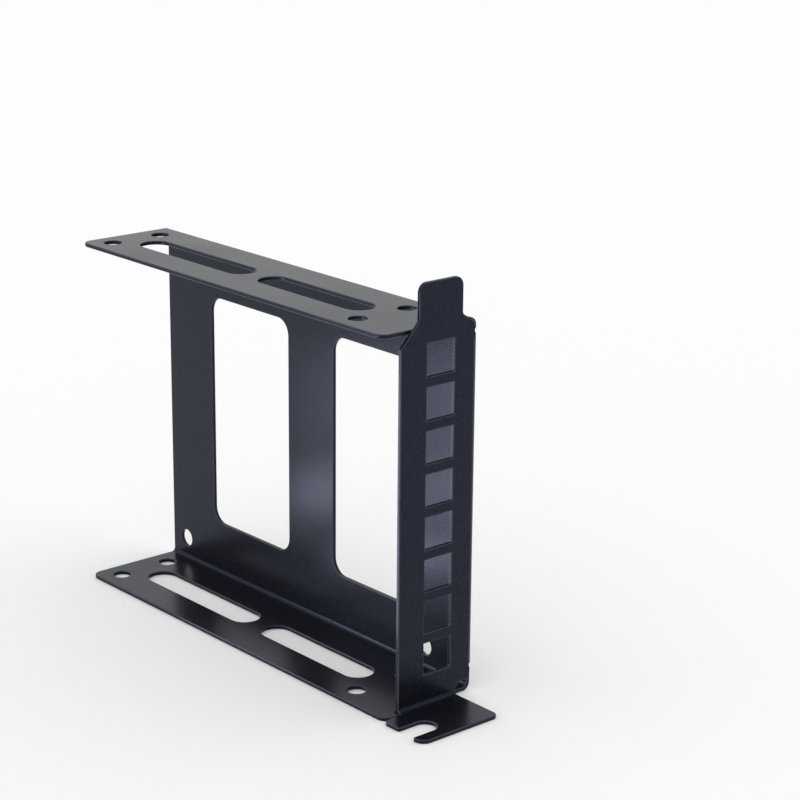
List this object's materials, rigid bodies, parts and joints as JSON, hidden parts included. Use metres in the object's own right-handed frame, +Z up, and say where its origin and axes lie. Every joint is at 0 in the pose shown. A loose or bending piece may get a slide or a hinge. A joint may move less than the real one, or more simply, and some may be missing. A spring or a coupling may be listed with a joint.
{
  "type": "drive mounting bracket",
  "caption": "Folded steel bracket that holds a small drive behind a low-profile slot plate with square vents, a tongue on top and a notched screw ear at its foot.",
  "frame": {"origin": "on the standing face, in the middle of the lower flange's four drive screw holes", "axes": "+X out of the slot plate, along the ear; the flanges reach out along -Y; +Z up along the slot plate, towards its tongue"},
  "size_m": [0.1059, 0.023, 0.08],
  "materials": {
    "powder_coat": "fine satin black powder coat"
  },
  "bodies": {
    "root": {"drive_bracket": "powder_coat"}
  },
  "joints": []
}
